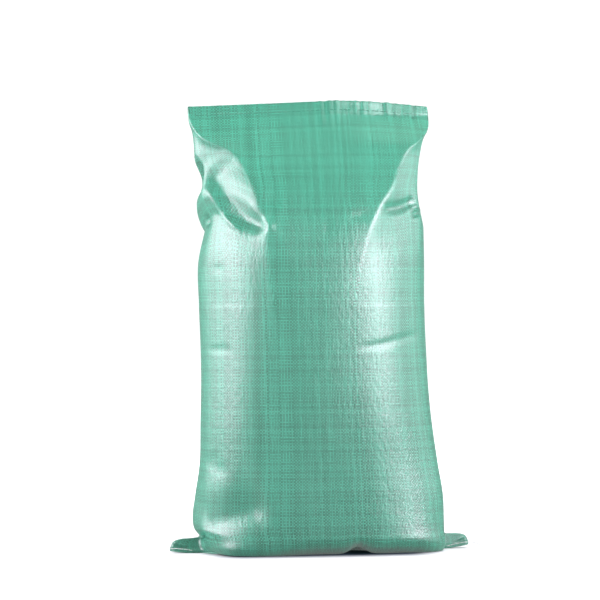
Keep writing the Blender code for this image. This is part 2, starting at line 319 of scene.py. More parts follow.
# The ear's ridge falls from the root to the tip. Below it the two layers part like a bill:
# the folded and sewn band lies on the floor, and the upper layer's edge rises towards the tip.
EAR_RIDGE = np.array((
    (0.222, 0.027), (0.246, 0.0255), (0.257, 0.023), (0.265, 0.020), (0.270, 0.016), (0.2745, 0.005),
))
EAR_ROOT_STEP = 6
EAR_ROOT_GAP = 0.003
LEFT_EAR_LIFT, RIGHT_EAR_LIFT = 0.0035, 0.0065   # the tips curl up from the floor
BAND_HEIGHT = 0.0062
BAND_HALF_WIDTH = 0.012
LIP_LOW, LIP_RISE = 0.003, 0.012          # the upper layer's edge, at the root and towards the tip
FLAP_EDGE, FLAP_ROOT, FLAP_THINNING = 0.0012, 0.0085, 0.004
FRONT_GAP, BACK_GAP = 0.0015, 0.003
LAYER_STEP = 0.0012                       # the height over which one layer gives way to the next


def share_of_ear(x):
    """How far out along an ear, from 0 at its root to 1 at its tip."""
    root, tip = EAR_RIDGE[0, 0], EAR_RIDGE[-1, 0]
    return np.clip((x - root) / (tip - root), 0, 1)


def ear_reach(z):
    return float(np.interp(-z, -EAR_RIDGE[:, 1], EAR_RIDGE[:, 0]))


def ear_half(x, z, front):
    """Half thickness of the ear at distance x from the middle and height z."""
    t = share_of_ear(x)
    ridge = np.interp(x, EAR_RIDGE[:, 0], EAR_RIDGE[:, 1])
    lip = LIP_LOW + LIP_RISE * smooth_step(0.2, 0.95, t)
    band = (BAND_HALF_WIDTH if front else 0.6 * BAND_HALF_WIDTH) * (1 - 0.25 * t)
    flap = FLAP_EDGE + (FLAP_ROOT - FLAP_THINNING * t) * np.clip((ridge - z) / (ridge - lip + 0.004), 0, 1)
    gap = FRONT_GAP if front else BACK_GAP
    above_band = smooth_step(BAND_HEIGHT, BAND_HEIGHT + LAYER_STEP, z)
    in_flap = smooth_step(lip - LAYER_STEP / 2, lip + LAYER_STEP, z)
    upper = gap * (1 - in_flap) + flap * in_flap
    return band * (1 - above_band) + upper * above_band


def with_ear(quarter, z, half_width, middle, side, front):
    """The last columns of a low section run out along the ear instead of round the flank."""
    if z >= EAR_TOP - 1e-6:
        return quarter
    out = quarter.copy()
    reach = ear_reach(z) - side * middle
    first = QUARTER_STEPS - SIDE_STEPS
    root = first + EAR_ROOT_STEP
    root_x = half_width + EAR_ROOT_GAP
    k = np.arange(root, QUARTER_STEPS + 1)
    t = (k - root) / (QUARTER_STEPS - root)
    x = root_x + (max(reach, root_x + 0.001) - root_x) * t
    y = ear_half(x + side * middle, z, front)
    y[-1] = 0
    stay = smooth_step(EAR_TOP - 0.004, EAR_TOP, z)
    out[k, 0] = x * (1 - stay) + quarter[k, 0] * stay
    out[k, 1] = y * (1 - stay) + quarter[k, 1] * stay
    flank = np.arange(first, root)
    u = (flank - first) / EAR_ROOT_STEP
    new_y = quarter[first, 1] * (1 - u) + y[0] * u
    new_x = np.interp(new_y, quarter[::-1, 1], quarter[::-1, 0]) * (1 - u**2) + root_x * u**2
    out[flank, 0] = new_x * (1 - stay) + quarter[flank, 0] * stay
    out[flank, 1] = new_y * (1 - stay) + quarter[flank, 1] * stay
    return out


def sack_ring(z):
    """The whole section at height z from the back's middle round the left side, the front and
    the right side, with each point's distance along the cloth from the front's middle."""
    halves = []
    for side in (-1, 1):
        section, shares, half_width, middle = quarter_section(z, side)
        front = with_ear(section, z, half_width, middle, side, True)
        back = with_ear(section, z, half_width, middle, side, False)
        front_points = np.stack([side * front[:, 0] + middle, -front[:, 1]], axis=1)
        back_points = np.stack([side * back[:, 0] + middle, back[:, 1]], axis=1)
        across = shares * QUARTER_CLOTH
        points = np.concatenate([front_points, back_points[-2::-1]])
        cloth = np.concatenate([across, (2 * QUARTER_CLOTH - across)[-2::-1]])
        halves.append((points, side * cloth))
    points = np.concatenate([halves[0][0][::-1], halves[1][0][1:]])
    cloth = np.concatenate([halves[0][1][::-1], halves[1][1][1:]])
    lean = MOUTH_LEAN * float(smooth_step(LEAN_START, HEM_FOOT, z))
    drop = float(smooth_step(FOLD_END, HEM_FOOT, z))
    off_peak = points[:, 0] - MOUTH_PEAK_X
    to_left = np.sqrt(off_peak**2 + PEAK_ROUND**2) - PEAK_ROUND
    left_sag = LEFT_DROP * (to_left / LEFT_HALF) ** 0.85
    right_sag = RIGHT_DROP * (off_peak.clip(0) / RIGHT_HALF) ** 1.5
    sag = drop * np.where(off_peak < 0, left_sag, right_sag)
    at_shoulder = float(smooth_step(*SLANT_LOW, z) * (1 - smooth_step(*SLANT_HIGH, z)))
    on_left = points[:, 0] < 0
    slant = np.where(on_left, LEFT_SLANT, RIGHT_SLANT)
    slant = slant * smooth_step(SLANT_FROM, SLANT_FULL, abs(points[:, 0]))
    run = slant * at_shoulder * (points[:, 1] - np.where(on_left, LEFT_LEVEL, RIGHT_LEVEL))
    return np.stack([points[:, 0], points[:, 1] + lean, z - sag + run], axis=1), cloth


rings, cloths = zip(*(sack_ring(z) for z in heights))
outside = np.array(rings)
across = np.array(cloths)
columns = outside.shape[1]

# The base: the cloth turns under and runs to the seam in the middle, where the folded band
# lies a cloth's thickness below the rest
SEAM_BAND_HALF = 0.011
SEAM_BAND_PROUD = 0.0012
SEAM_SINK = 0.0007                        # the stitches draw the band in along its middle
BASE_HALF_DEPTH = 0.100
base_places = (
    0, 0.0012, 0.0026, 0.0055, 0.0095, 0.0108, 0.0122, 0.016, 0.025, 0.038, 0.052, 0.066, 0.080, 0.092,
)
from_back = np.sign(across[0]) * (2 * QUARTER_CLOTH - abs(across[0]))
seam_x = np.where(abs(across[0]) <= QUARTER_CLOTH, across[0], from_back)
seam_x = np.clip(seam_x, -EAR_RIDGE[-1, 0], EAR_RIDGE[-1, 0])
seam_line = np.stack([seam_x, np.zeros(columns), np.zeros(columns)], axis=1)
base_rows = []
for place in base_places:
    k = place / BASE_HALF_DEPTH
    row = seam_line * (1 - k) + outside[0] * k
    off_middle = np.abs(row[:, 1])
    above_band = SEAM_BAND_PROUD * smooth_step(SEAM_BAND_HALF - 0.001, SEAM_BAND_HALF + 0.001, off_middle)
    pulled_in = SEAM_SINK * (1 - smooth_step(0.0005, 0.0030, off_middle))
    row[:, 2] = above_band * (1 - smooth_step(0.85, 1.0, k)) + pulled_in
    base_rows.append(row)
outside = np.concatenate([np.array(base_rows), outside])
across = np.concatenate([np.repeat(across[:1], len(base_rows), axis=0), across])

# The column of points up the front's middle, by which rows are told apart
front_middle = columns // 2


def smooth_along_ring(points, rows, weight, passes):
    """Rounds the section's corners; each pass averages a point with its two neighbours."""
    part = points[rows, :-1]
    for _ in range(passes):
        part = part + weight * ((np.roll(part, 1, axis=1) + np.roll(part, -1, axis=1)) / 2 - part)
    points[rows, :-1] = part
    points[rows, -1] = part[:, 0]


neck_rows = np.where(outside[:, front_middle, 2] > FOLD_START - 0.02)[0]
smooth_along_ring(outside, neck_rows, 0.5, 6)


def outward_normals(points):
    du = np.roll(points[:, :-1], -1, axis=1) - np.roll(points[:, :-1], 1, axis=1)
    du = np.concatenate([du, du[:, :1]], axis=1)
    dv = np.gradient(points, axis=0)
    normal = np.cross(du, dv)
    return normal / np.maximum(np.linalg.norm(normal, axis=2, keepdims=True), 1e-9)


def distance_to_path(points, path):
    """Distance in the front view (x, z) from every point to a line of points, and the share along it."""
    flat = points[..., (0, 2)]
    best = np.full(flat.shape[:-1], 1e9)
    share = np.zeros(flat.shape[:-1])
    path = np.array(path)
    lengths = np.hypot(*np.diff(path, axis=0).T)
    total, gone = lengths.sum(), 0.0
    for (start, end), length in zip(zip(path, path[1:]), lengths):
        leg = end - start
        t = np.clip(((flat - start) @ leg) / (leg @ leg), 0, 1)
        gap = np.linalg.norm(flat - (start + t[..., None] * leg), axis=-1)
        nearer = gap < best
        best = np.where(nearer, gap, best)
        share = np.where(nearer, (gone + t * length) / total, share)
        gone += length
    return best, share


CREASE_RADIUS, GROOVE_RADIUS = 0.0015, 0.0040
FRONT_FROM, FRONT_FULL = 0.010, -0.040    # folds fade out round the side, by y and by the facing
FACING_FROM, FACING_FULL = 0.5, -0.1


def front_fold(points, normals, path, width, height, ends):
    """Raises (height > 0) or presses in a fold along a path on the front, fading at its ends.
    Its width may be a pair: above the path and below it."""
    gap, share = distance_to_path(points, path)
    fade = smooth_step(0, ends, share) * smooth_step(0, ends, 1 - share)
    upper, lower = width if isinstance(width, tuple) else (width, width)
    line = np.array(path)
    line_height = np.interp(points[..., 0], *line[line[:, 0].argsort()].T)
    reach = np.where(points[..., 2] > line_height, upper, lower)
    radius = CREASE_RADIUS if height > 0 else GROOVE_RADIUS
    crisp = np.sqrt(gap**2 + radius**2) - radius
    by_place = 1 - smooth_step(FRONT_FULL, FRONT_FROM, points[..., 1])
    by_facing = 1 - smooth_step(FACING_FULL, FACING_FROM, normals[..., 1])
    shape = np.exp(-((crisp / reach) ** 1.5)) * fade * (by_place * by_facing)
    return points + normals * (height * shape)[..., None]


FRONT_FOLDS = (
    # path (x, z), width, height, share of the length over which the ends fade
    # left shoulder: the deep groove under the facet, the sharp ridge beside it, the pocket at the edge
    (((-0.206, 0.698), (-0.192, 0.679), (-0.177, 0.655), (-0.160, 0.629), (-0.142, 0.608),
      (-0.122, 0.596), (-0.098, 0.583)), (0.0260, 0.0120), -0.0105, 0.16),
    (((-0.207, 0.668), (-0.198, 0.648), (-0.185, 0.626), (-0.169, 0.604), (-0.155, 0.588),
      (-0.147, 0.574)), 0.0045, 0.0050, 0.22),
    (((-0.232, 0.604), (-0.212, 0.602), (-0.198, 0.604)), (0.008, 0.005), -0.012, 0.20),
    (((-0.132, 0.638), (-0.120, 0.618), (-0.104, 0.597), (-0.086, 0.574)), 0.0050, 0.0026, 0.35),
    (((-0.205, 0.515), (-0.170, 0.515)), 0.005, -0.0010, 0.45),
    # right shoulder: the level crease from the end of the facet, the fold and pocket at the edge
    (((0.108, 0.622), (0.122, 0.621), (0.140, 0.624), (0.156, 0.630), (0.174, 0.641)),
     (0.005, 0.008), -0.0065, 0.18),
    (((0.162, 0.612), (0.178, 0.628)), 0.0045, 0.005, 0.35),
    (((0.180, 0.606), (0.175, 0.616), (0.181, 0.624)), 0.006, -0.007, 0.30),
    (((0.030, 0.606), (0.060, 0.605), (0.100, 0.614)), 0.0060, -0.0012, 0.50),
    # small creases of the body
    (((0.046, 0.368), (0.107, 0.379), (0.167, 0.393), (0.190, 0.401)), 0.004, -0.0018, 0.30),
    (((-0.214, 0.371), (-0.160, 0.370)), 0.005, -0.0013, 0.40),
    (((-0.218, 0.184), (-0.205, 0.168), (-0.191, 0.156), (-0.174, 0.166)), (0.013, 0.010), -0.0016, 0.30),
    # bottom left: the cloth is drawn in along a slanting line and flares out below it
    (((-0.250, 0.046), (-0.215, 0.057), (-0.175, 0.070), (-0.140, 0.084), (-0.096, 0.100)),
     (0.044, 0.036), -0.016, 0.26),
)

# The ears' tips curl up from the floor
curl = (outside[..., 2] < EAR_TOP + 0.001) * share_of_ear(abs(outside[..., 0])) ** 1.5
outside[..., 2] += curl * np.where(outside[..., 0] < 0, LEFT_EAR_LIFT, RIGHT_EAR_LIFT)

normals = outward_normals(outside)
for path, width, height, ends in FRONT_FOLDS:
    outside = front_fold(outside, normals, path, width, height, ends)

# The front's lower edge is drawn in under the belly, with one small tuck, and its left corner
# is drawn in towards the ear
FRONT_EDGE = (0.03, 0.07)                 # these are fades, from nothing to full
EDGE_IN, EDGE_HEIGHT, EDGE_FROM, EDGE_EASE = 0.022, 0.030, (-0.13, 0.0), (0.15, 0.22)
CORNER_IN, CORNER_HEIGHT, CORNER_FROM = 0.020, 0.042, (0.15, 0.21)
CORNER_FRONT = (0.008, 0.050)
TUCK_X, TUCK_HALF, TUCK_HEIGHT, TUCK_REACH = 0.060, 0.028, 0.013, 0.040
x, y, z = outside[..., 0], outside[..., 1], outside[..., 2]
on_front = smooth_step(*FRONT_EDGE, -y)
drawn = smooth_step(*EDGE_FROM, x) * (1 - 0.5 * smooth_step(*EDGE_EASE, x))
y += EDGE_IN * (drawn * np.clip(1 - z / EDGE_HEIGHT, 0, 1) ** 2 * on_front)
cut_in = smooth_step(*CORNER_FROM, -x) * smooth_step(*CORNER_FRONT, -y)
cut_in = cut_in * np.clip(1 - z / CORNER_HEIGHT, 0, 1) ** 1.5
x += CORNER_IN * cut_in
tuck = np.exp(-(((x - TUCK_X) / (TUCK_HALF / 1.6)) ** 2)) * on_front
z += TUCK_HEIGHT * tuck * np.clip(1 - z / TUCK_REACH, 0, 1)

# The mouth's right half bends back
BEND_FOOT, BEND_FROM, BEND_REACH, BEND_BACK = 0.735, 0.020, 0.180, 0.044
past_bend = (outside[..., 0] - BEND_FROM).clip(0) / BEND_REACH
bent = smooth_step(BEND_FOOT, HEM_FOOT, outside[..., 2]) * past_bend**1.2
outside[..., 1] += BEND_BACK * bent
normals = outward_normals(outside)

SPARE_HEIGHT = 0.03
HOLD = 0.02                               # how firmly the tube keeps its shape, 1 at both ends
HELD_BELOW, HELD_ABOVE = (0.032, 0.075), (0.69, 0.80)
PIN_STIFFNESS = 0.5
FILL_PRESSURE = 1.0
CLOTH_MASS, CLOTH_STRETCH, CLOTH_SHEAR, CLOTH_BENDING = 0.03, 40, 15, 5
SETTLE_FRAMES = 24
SETTLE_LIMIT = 0.005


def settle(points):
    """Runs a coarse copy of the tube as cloth that is a little too long for its height, pushed
    out by the fill, and returns how far each of the copy's points moves."""
    row_count, column_count = points.shape[:2]
    bm = bmesh.new()
    row_of, column_of = bm.verts.layers.int.new("row"), bm.verts.layers.int.new("column")
    bmesh.ops.create_grid(bm, x_segments=column_count - 1, y_segments=row_count - 1, size=0.5)
    for vert in bm.verts:
        vert[row_of] = round((vert.co.y + 0.5) * (row_count - 1))
        vert[column_of] = round((vert.co.x + 0.5) * (column_count - 1)) % (column_count - 1)
        vert.co = points[vert[row_of], vert[column_of]]
    bmesh.ops.remove_doubles(bm, verts=bm.verts, dist=0.00005)
    bmesh.ops.recalc_face_normals(bm, faces=bm.faces)
    mesh = bpy.data.meshes.new("slack_cloth")
    bm.to_mesh(mesh)
    bm.free()
    slack = bpy.data.objects.new("slack_cloth", mesh)
    bpy.context.scene.collection.objects.link(slack)
    start = np.array([vert.co[:] for vert in mesh.vertices])
    rows_of = np.array([entry.value for entry in mesh.attributes["row"].data])
    columns_of = np.array([entry.value for entry in mesh.attributes["column"].data])
    slack.shape_key_add(name="as_placed")
    longer = slack.shape_key_add(name="as_cut")
    for vert, place in zip(longer.data, start):
        vert.co = (place[0], place[1], place[2] * (1 + SPARE_HEIGHT))
    hold = slack.vertex_groups.new(name="hold")
    for vert, (_, _, z) in enumerate(start):
        at_ends = float(max(1 - smooth_step(*HELD_BELOW, z), smooth_step(*HELD_ABOVE, z)))
        hold.add([vert], HOLD + (1 - HOLD) * at_ends, "REPLACE")
    cloth = slack.modifiers.new("cloth", "CLOTH")
    cloth.settings.quality = 5
    cloth.settings.mass = CLOTH_MASS
    cloth.settings.tension_stiffness = CLOTH_STRETCH
    cloth.settings.compression_stiffness = CLOTH_STRETCH
    cloth.settings.shear_stiffness = CLOTH_SHEAR
    cloth.settings.bending_stiffness = CLOTH_BENDING
    cloth.settings.effector_weights.gravity = 0
    cloth.settings.use_pressure = True
    cloth.settings.uniform_pressure_force = FILL_PRESSURE
    cloth.settings.vertex_group_mass = "hold"
    cloth.settings.pin_stiffness = PIN_STIFFNESS
    cloth.settings.rest_shape_key = longer
    cloth.collision_settings.use_collision = False
    cloth.point_cache.frame_start = 1
    cloth.point_cache.frame_end = SETTLE_FRAMES
    for frame_number in range(1, SETTLE_FRAMES + 1):
        bpy.context.scene.frame_set(frame_number)
    settled = slack.evaluated_get(bpy.context.evaluated_depsgraph_get())
    end = np.array([vert.co[:] for vert in settled.data.vertices])
    bpy.context.scene.frame_set(1)
    bpy.data.objects.remove(slack)
    moved = np.zeros(points.shape)
    moved[rows_of, columns_of] = end - start
    moved[:, -1] = moved[:, 0]
    return moved


loose_rows = np.where(outside[:, front_middle, 2] > EAR_TOP + 0.002)[0][::2]
loose_columns = np.arange(0, columns, 2)
coarse = outside[np.ix_(loose_rows, loose_columns)]
moved = settle(coarse)
length = np.linalg.norm(moved, axis=2, keepdims=True)
moved *= SETTLE_LIMIT / np.maximum(length, SETTLE_LIMIT)
for _ in range(2):
    moved[1:-1] = (moved[:-2] + 2 * moved[1:-1] + moved[2:]) / 4
    tube = moved[:, :-1]
    moved[:, :-1] = (np.roll(tube, 1, axis=1) + 2 * tube + np.roll(tube, -1, axis=1)) / 4
moved[:, -1] = moved[:, 0]
across_columns = np.arange(columns)
fine_rows = np.arange(loose_rows[0], loose_rows[-1] + 1)
for axis in range(3):
    wide = np.array([np.interp(across_columns, loose_columns, line) for line in moved[..., axis]])
    fine = np.array([np.interp(fine_rows, loose_rows, line) for line in wide.T]).T
    outside[fine_rows, :, axis] += fine
normals = outward_normals(outside)

# The hem stands a cloth's thickness proud of the panel, and its stitches pucker it
HEM_PROUD = 0.0007
PUCKER_HEIGHT = 0.0034
PUCKER_PITCH = 0.014
PUCKERS_FROM, PUCKERS_TO = -0.012, 0.205
PUCKER_REACH = 0.034                      # the puckers die out this far below the hem
PUCKERED_LEAST = 0.25
WANDER, WANDER_GRAIN = 5, (14, 6)         # how unevenly the pleats stand
PLEAT_SHARE, CRUMPLE_SHARE, CRUMPLE_GRAIN = 0.28, 0.90, (85, 14)
for i in np.where(outside[:, front_middle, 2] > HEM_FOOT - PUCKER_REACH - 0.002)[0]:
    for j in range(columns):
        px, _, pz = outside[i, j]
        in_hem = float(smooth_step(HEM_FOOT - 0.0015, HEM_FOOT + 0.0015, pz))
        near_hem = float(smooth_step(HEM_FOOT - PUCKER_REACH, HEM_FOOT, pz))
        in_bend = float(smooth_step(PUCKERS_FROM, PUCKERS_FROM + 0.02, px)
                        * (1 - smooth_step(PUCKERS_TO - 0.03, PUCKERS_TO, px)))
        puckered = PUCKERED_LEAST + (1 - PUCKERED_LEAST) * in_bend
        place = np.array((across[i, j], pz))
        wander = noise.noise(Vector((*(place * WANDER_GRAIN), 1)))
        pleat = sin(2 * pi * across[i, j] / PUCKER_PITCH + WANDER * wander)
        crumple = noise.noise(Vector((*(place * CRUMPLE_GRAIN), 5)))
        ripple = PLEAT_SHARE * pleat + CRUMPLE_SHARE * crumple
        outside[i, j] += normals[i, j] * (HEM_PROUD * in_hem + PUCKER_HEIGHT * near_hem * puckered * ripple)

# The fill shows through as slow swells, strongest in the middle of each side
SWELL_HEIGHT = 0.0022
SWELL_GRAIN = (11, 11, 5)
SWELLS_FROM, SWELLS_FULL = 0.03, 0.10
SWELLS_FADE = 0.06                        # and they fade over this height below the hem
row_height = outside[:, front_middle, 2].copy()
for i in np.where((row_height > SWELLS_FROM) & (row_height < HEM_FOOT))[0]:
    fade = float(smooth_step(SWELLS_FROM, SWELLS_FULL, row_height[i])
                 * (1 - smooth_step(HEM_FOOT - SWELLS_FADE, HEM_FOOT, row_height[i])))
    for j in range(columns):
        swell = noise.noise(Vector(outside[i, j] * SWELL_GRAIN))
        outside[i, j] += normals[i, j] * (SWELL_HEIGHT * fade * swell)

# The mouth: over the hem's edge and down the inside, the front and back layers almost meeting
MOUTH_CLOSING, CLOSED_HALF = 0.24, (0.10, 0.17)
x, y = outside[..., 0], outside[..., 1]
close = smooth_step(HEM_FOOT - 0.01, MOUTH_TOP, outside[..., 2])
close = close * (1 - smooth_step(*CLOSED_HALF, np.abs(x - np.mean(x[-1]))))
y -= MOUTH_CLOSING * (y - MOUTH_LEAN) * close
normals = outward_normals(outside)
inside_rows, inside_across = [], []
for depth in (0.0, 0.002, 0.006, 0.012, 0.020, 0.030, 0.040, POCKET_DEPTH):
    target = MOUTH_TOP - 0.001 - depth
    row = int(np.argmin(abs(outside[:, front_middle, 2] - target)))
    inside_rows.append(outside[row] - normals[row] * CLOTH_THICKNESS * (1, 1, 0))
    inside_across.append(across[row])
edge_row = (outside[-1] + inside_rows[0]) / 2 + (0, 0, 0.0008)
inside_rows[-1][:, 2] = inside_rows[-1][:, 2].min()
cloth_points = np.concatenate([outside, edge_row[None], np.array(inside_rows)])
cloth_across = np.concatenate([across, across[-1:], np.array(inside_across)])
steps = np.linalg.norm(np.diff(cloth_points[:, front_middle], axis=0), axis=1)
along = np.concatenate([[0.0], np.cumsum(steps)])

bm = bmesh.new()
rows = len(cloth_points)
bmesh.ops.create_grid(bm, x_segments=columns - 1, y_segments=rows - 1, size=0.5, calc_uvs=True)
uv = bm.loops.layers.uv.verify()
cloth_of = {}
for vert in bm.verts:
    i = round((vert.co.y + 0.5) * (rows - 1))
    j = round((vert.co.x + 0.5) * (columns - 1))
    cloth_of[vert] = (cloth_across[i, j], along[i])
    vert.co = cloth_points[i, j]
for face in bm.faces:
    for loop in face.loops:
        loop[uv].uv = cloth_of[loop.vert]
bmesh.ops.remove_doubles(bm, verts=bm.verts, dist=0.00005)
open_edges = [edge for edge in bm.edges if edge.is_boundary]
bmesh.ops.edgeloop_fill(bm, edges=open_edges)
bmesh.ops.recalc_face_normals(bm, faces=bm.faces)
sack_mesh = bpy.data.meshes.new("woven_sack")
bm.to_mesh(sack_mesh)
bm.free()
sack_mesh.shade_smooth()
sack = bpy.data.objects.new("woven_sack", sack_mesh)
bpy.context.scene.collection.objects.link(sack)

# The weave: flat tapes over and under each other, a few thousandths proud, with a thin gap
# between neighbours. Its group works in metres on the cloth's own map.
TAPE_WIDTH = 0.00275


def math_node(tree, operation, first, second=None, third=None):
    """The result of a Math node with its inputs linked or set."""
    node = tree.nodes.new("ShaderNodeMath")
    node.operation = operation
    for socket, value in zip(node.inputs, (first, second, third)):
        if value is None:
            continue
        if isinstance(value, (int, float)):
            socket.default_value = value
        else:
            tree.links.new(value, socket)
    return node.outputs["Value"]


weave = bpy.data.node_groups.new("woven_tape", "ShaderNodeTree")
weave.interface.new_socket("Cloth Map", in_out="INPUT", socket_type="NodeSocketVector")
tape_width = weave.interface.new_socket("Tape Width", in_out="INPUT", socket_type="NodeSocketFloat")
tape_width.default_value = TAPE_WIDTH
weave.interface.new_socket("Relief", in_out="OUTPUT", socket_type="NodeSocketFloat")
weave.interface.new_socket("Upright Tape", in_out="OUTPUT", socket_type="NodeSocketFloat")
weave.interface.new_socket("Upright Tone", in_out="OUTPUT", socket_type="NodeSocketFloat")
weave.interface.new_socket("Level Tone", in_out="OUTPUT", socket_type="NodeSocketFloat")
weave_in = weave.nodes.new("NodeGroupInput")
weave_out = weave.nodes.new("NodeGroupOutput")


def weave_math(operation, first, second=None, third=None):
    return math_node(weave, operation, first, second, third)


parts = weave.nodes.new("ShaderNodeSeparateXYZ")
weave.links.new(weave_in.outputs["Cloth Map"], parts.inputs["Vector"])
tapes_across = weave_math("DIVIDE", parts.outputs["X"], weave_in.outputs["Tape Width"])
tapes_along = weave_math("DIVIDE", parts.outputs["Y"], weave_in.outputs["Tape Width"])
column_number = weave_math("FLOOR", tapes_across)
row_number = weave_math("FLOOR", tapes_along)
column_place = weave_math("SUBTRACT", weave_math("FRACT", tapes_across), 0.5)
row_place = weave_math("SUBTRACT", weave_math("FRACT", tapes_along), 0.5)
over = weave_math("FLOORED_MODULO", weave_math("ADD", column_number, row_number), 2)


def tape_relief(width_place, length_place):
    """A tape's height: flat over its width, arched along its length where it goes over."""
    arch = weave_math("COSINE", weave_math("MULTIPLY", length_place, pi))
    from_middle = weave_math("MULTIPLY", weave_math("ABSOLUTE", width_place), 2)
    edge = weave_math("SUBTRACT", 1, weave_math("POWER", from_middle, 10))
    return weave_math("MULTIPLY", arch, edge)


upright = tape_relief(column_place, row_place)
level = tape_relief(row_place, column_place)
level_on_top = weave_math("MULTIPLY", level, weave_math("SUBTRACT", 1, over))
relief = weave_math("ADD", weave_math("MULTIPLY", upright, over), level_on_top)
weave.links.new(relief, weave_out.inputs["Relief"])
weave.links.new(over, weave_out.inputs["Upright Tape"])

OWN_TONE, BROAD_TONE = 0.62, 0.38


def tape_tone(number, seed):
    """Each tape's own tone, and the broader tone of the dozen tapes around it."""
    single = weave.nodes.new("ShaderNodeTexWhiteNoise")
    single.noise_dimensions = "1D"
    weave.links.new(weave_math("ADD", number, seed), single.inputs["W"])
    broad = weave.nodes.new("ShaderNodeTexNoise")
    broad.noise_dimensions = "1D"
    broad.inputs["Scale"].default_value = 0.17
    broad.inputs["Detail"].default_value = 2
    weave.links.new(weave_math("ADD", number, seed), broad.inputs["W"])
    own = weave_math("MULTIPLY", single.outputs["Value"], OWN_TONE)
    return weave_math("ADD", own, weave_math("MULTIPLY", broad.outputs["Fac"], BROAD_TONE))


weave.links.new(tape_tone(column_number, 40), weave_out.inputs["Upright Tone"])
weave.links.new(tape_tone(row_number, 911), weave_out.inputs["Level Tone"])

green_tape = bpy.data.materials.new("green_tape_weave")
green_tape.use_nodes = True
tree = green_tape.node_tree
tape_shader = tree.nodes["Principled BSDF"]
cloth_map = tree.nodes.new("ShaderNodeUVMap")
woven = tree.nodes.new("ShaderNodeGroup")
woven.node_tree = weave
tree.links.new(cloth_map.outputs["UV"], woven.inputs["Cloth Map"])
woven.inputs["Tape Width"].default_value = TAPE_WIDTH


def tape_math(operation, first, second=None, third=None):
    return math_node(tree, operation, first, second, third)


def cloth_noise(scale_across, scale_along, detail, roughness):
    """Noise on the cloth's map, stretched along one way of the weave."""
    stretch = tree.nodes.new("ShaderNodeMapping")
    stretch.inputs["Scale"].default_value = (scale_across, scale_along, 1)
    tree.links.new(cloth_map.outputs["UV"], stretch.inputs["Vector"])
    grain = tree.nodes.new("ShaderNodeTexNoise")
    grain.inputs["Scale"].default_value = 1
    grain.inputs["Detail"].default_value = detail
    grain.inputs["Roughness"].default_value = roughness
    tree.links.new(stretch.outputs["Vector"], grain.inputs["Vector"])
    return grain.outputs["Fac"]


DEEP_GREEN = (0.002, 0.088, 0.044, 1)
PALE_GREEN = (0.048, 0.420, 0.270, 1)
TONE_CONTRAST, MIDDLE_TONE = 1.9, 0.45
DARKEST_TONE = 0.14
tone_on_top = tree.nodes.new("ShaderNodeMix")
tone_on_top.data_type = "FLOAT"
tree.links.new(woven.outputs["Upright Tape"], tone_on_top.inputs["Factor"])
level_tone = tape_math("MULTIPLY_ADD", woven.outputs["Level Tone"], 0.55, 0.30)
upright_tone = tape_math("MULTIPLY_ADD", woven.outputs["Upright Tone"], 0.80, -0.085)
tree.links.new(level_tone, tone_on_top.inputs["A"])
tree.links.new(upright_tone, tone_on_top.inputs["B"])
# The weave's relief is painted into the tone: painted light on the tapes' arched tops, painted shade at
# their edges and where they pass under.
arch_light_gap_shade = tape_math("MULTIPLY_ADD", woven.outputs["Relief"], 0.55, -0.30)
streaks = tape_math("MULTIPLY_ADD", cloth_noise(60, 18, 3, 0.6), 0.30, -0.15)
grain = tape_math("MULTIPLY_ADD", cloth_noise(280, 280, 2, 0.6), 0.60, -0.30)
tone = tone_on_top.outputs["Result"]
for change in (arch_light_gap_shade, streaks, grain):
    tone = tape_math("ADD", tone, change)
tone = tape_math("MULTIPLY_ADD", tone, TONE_CONTRAST, MIDDLE_TONE * (1 - TONE_CONTRAST))
tone = tape_math("MAXIMUM", tone, DARKEST_TONE)
tape_colour = tree.nodes.new("ShaderNodeMix")
tape_colour.data_type = "RGBA"
tape_colour.inputs["A"].default_value = DEEP_GREEN
tape_colour.inputs["B"].default_value = PALE_GREEN
tree.links.new(tone, tape_colour.inputs["Factor"])
tree.links.new(tape_colour.outputs["Result"], tape_shader.inputs["Base Color"])

ROUGHNESS, ROUGHNESS_SPREAD = 0.31, 0.14
dull = tape_math("ADD", ROUGHNESS, tape_math("MULTIPLY", cloth_noise(150, 60, 3, 0.6), ROUGHNESS_SPREAD))
tree.links.new(dull, tape_shader.inputs["Roughness"])
tape_shader.inputs["Specular IOR Level"].default_value = 1.0
tape_shader.inputs["IOR"].default_value = 1.8

TAPE_PROUD = 0.00010
CRINKLE_HEIGHT = 0.0007
crinkle = tree.nodes.new("ShaderNodeBump")
crinkle.inputs["Distance"].default_value = CRINKLE_HEIGHT
crinkle.inputs["Strength"].default_value = 1
tree.links.new(cloth_noise(170, 75, 3, 0.55), crinkle.inputs["Height"])
tape_bump = tree.nodes.new("ShaderNodeBump")
tape_bump.inputs["Distance"].default_value = TAPE_PROUD
tape_bump.inputs["Strength"].default_value = 1
tree.links.new(woven.outputs["Relief"], tape_bump.inputs["Height"])
tree.links.new(crinkle.outputs["Normal"], tape_bump.inputs["Normal"])
tree.links.new(tape_bump.outputs["Normal"], tape_shader.inputs["Normal"])
sack_mesh.materials.append(green_tape)

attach(sack, "root")
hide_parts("sack")

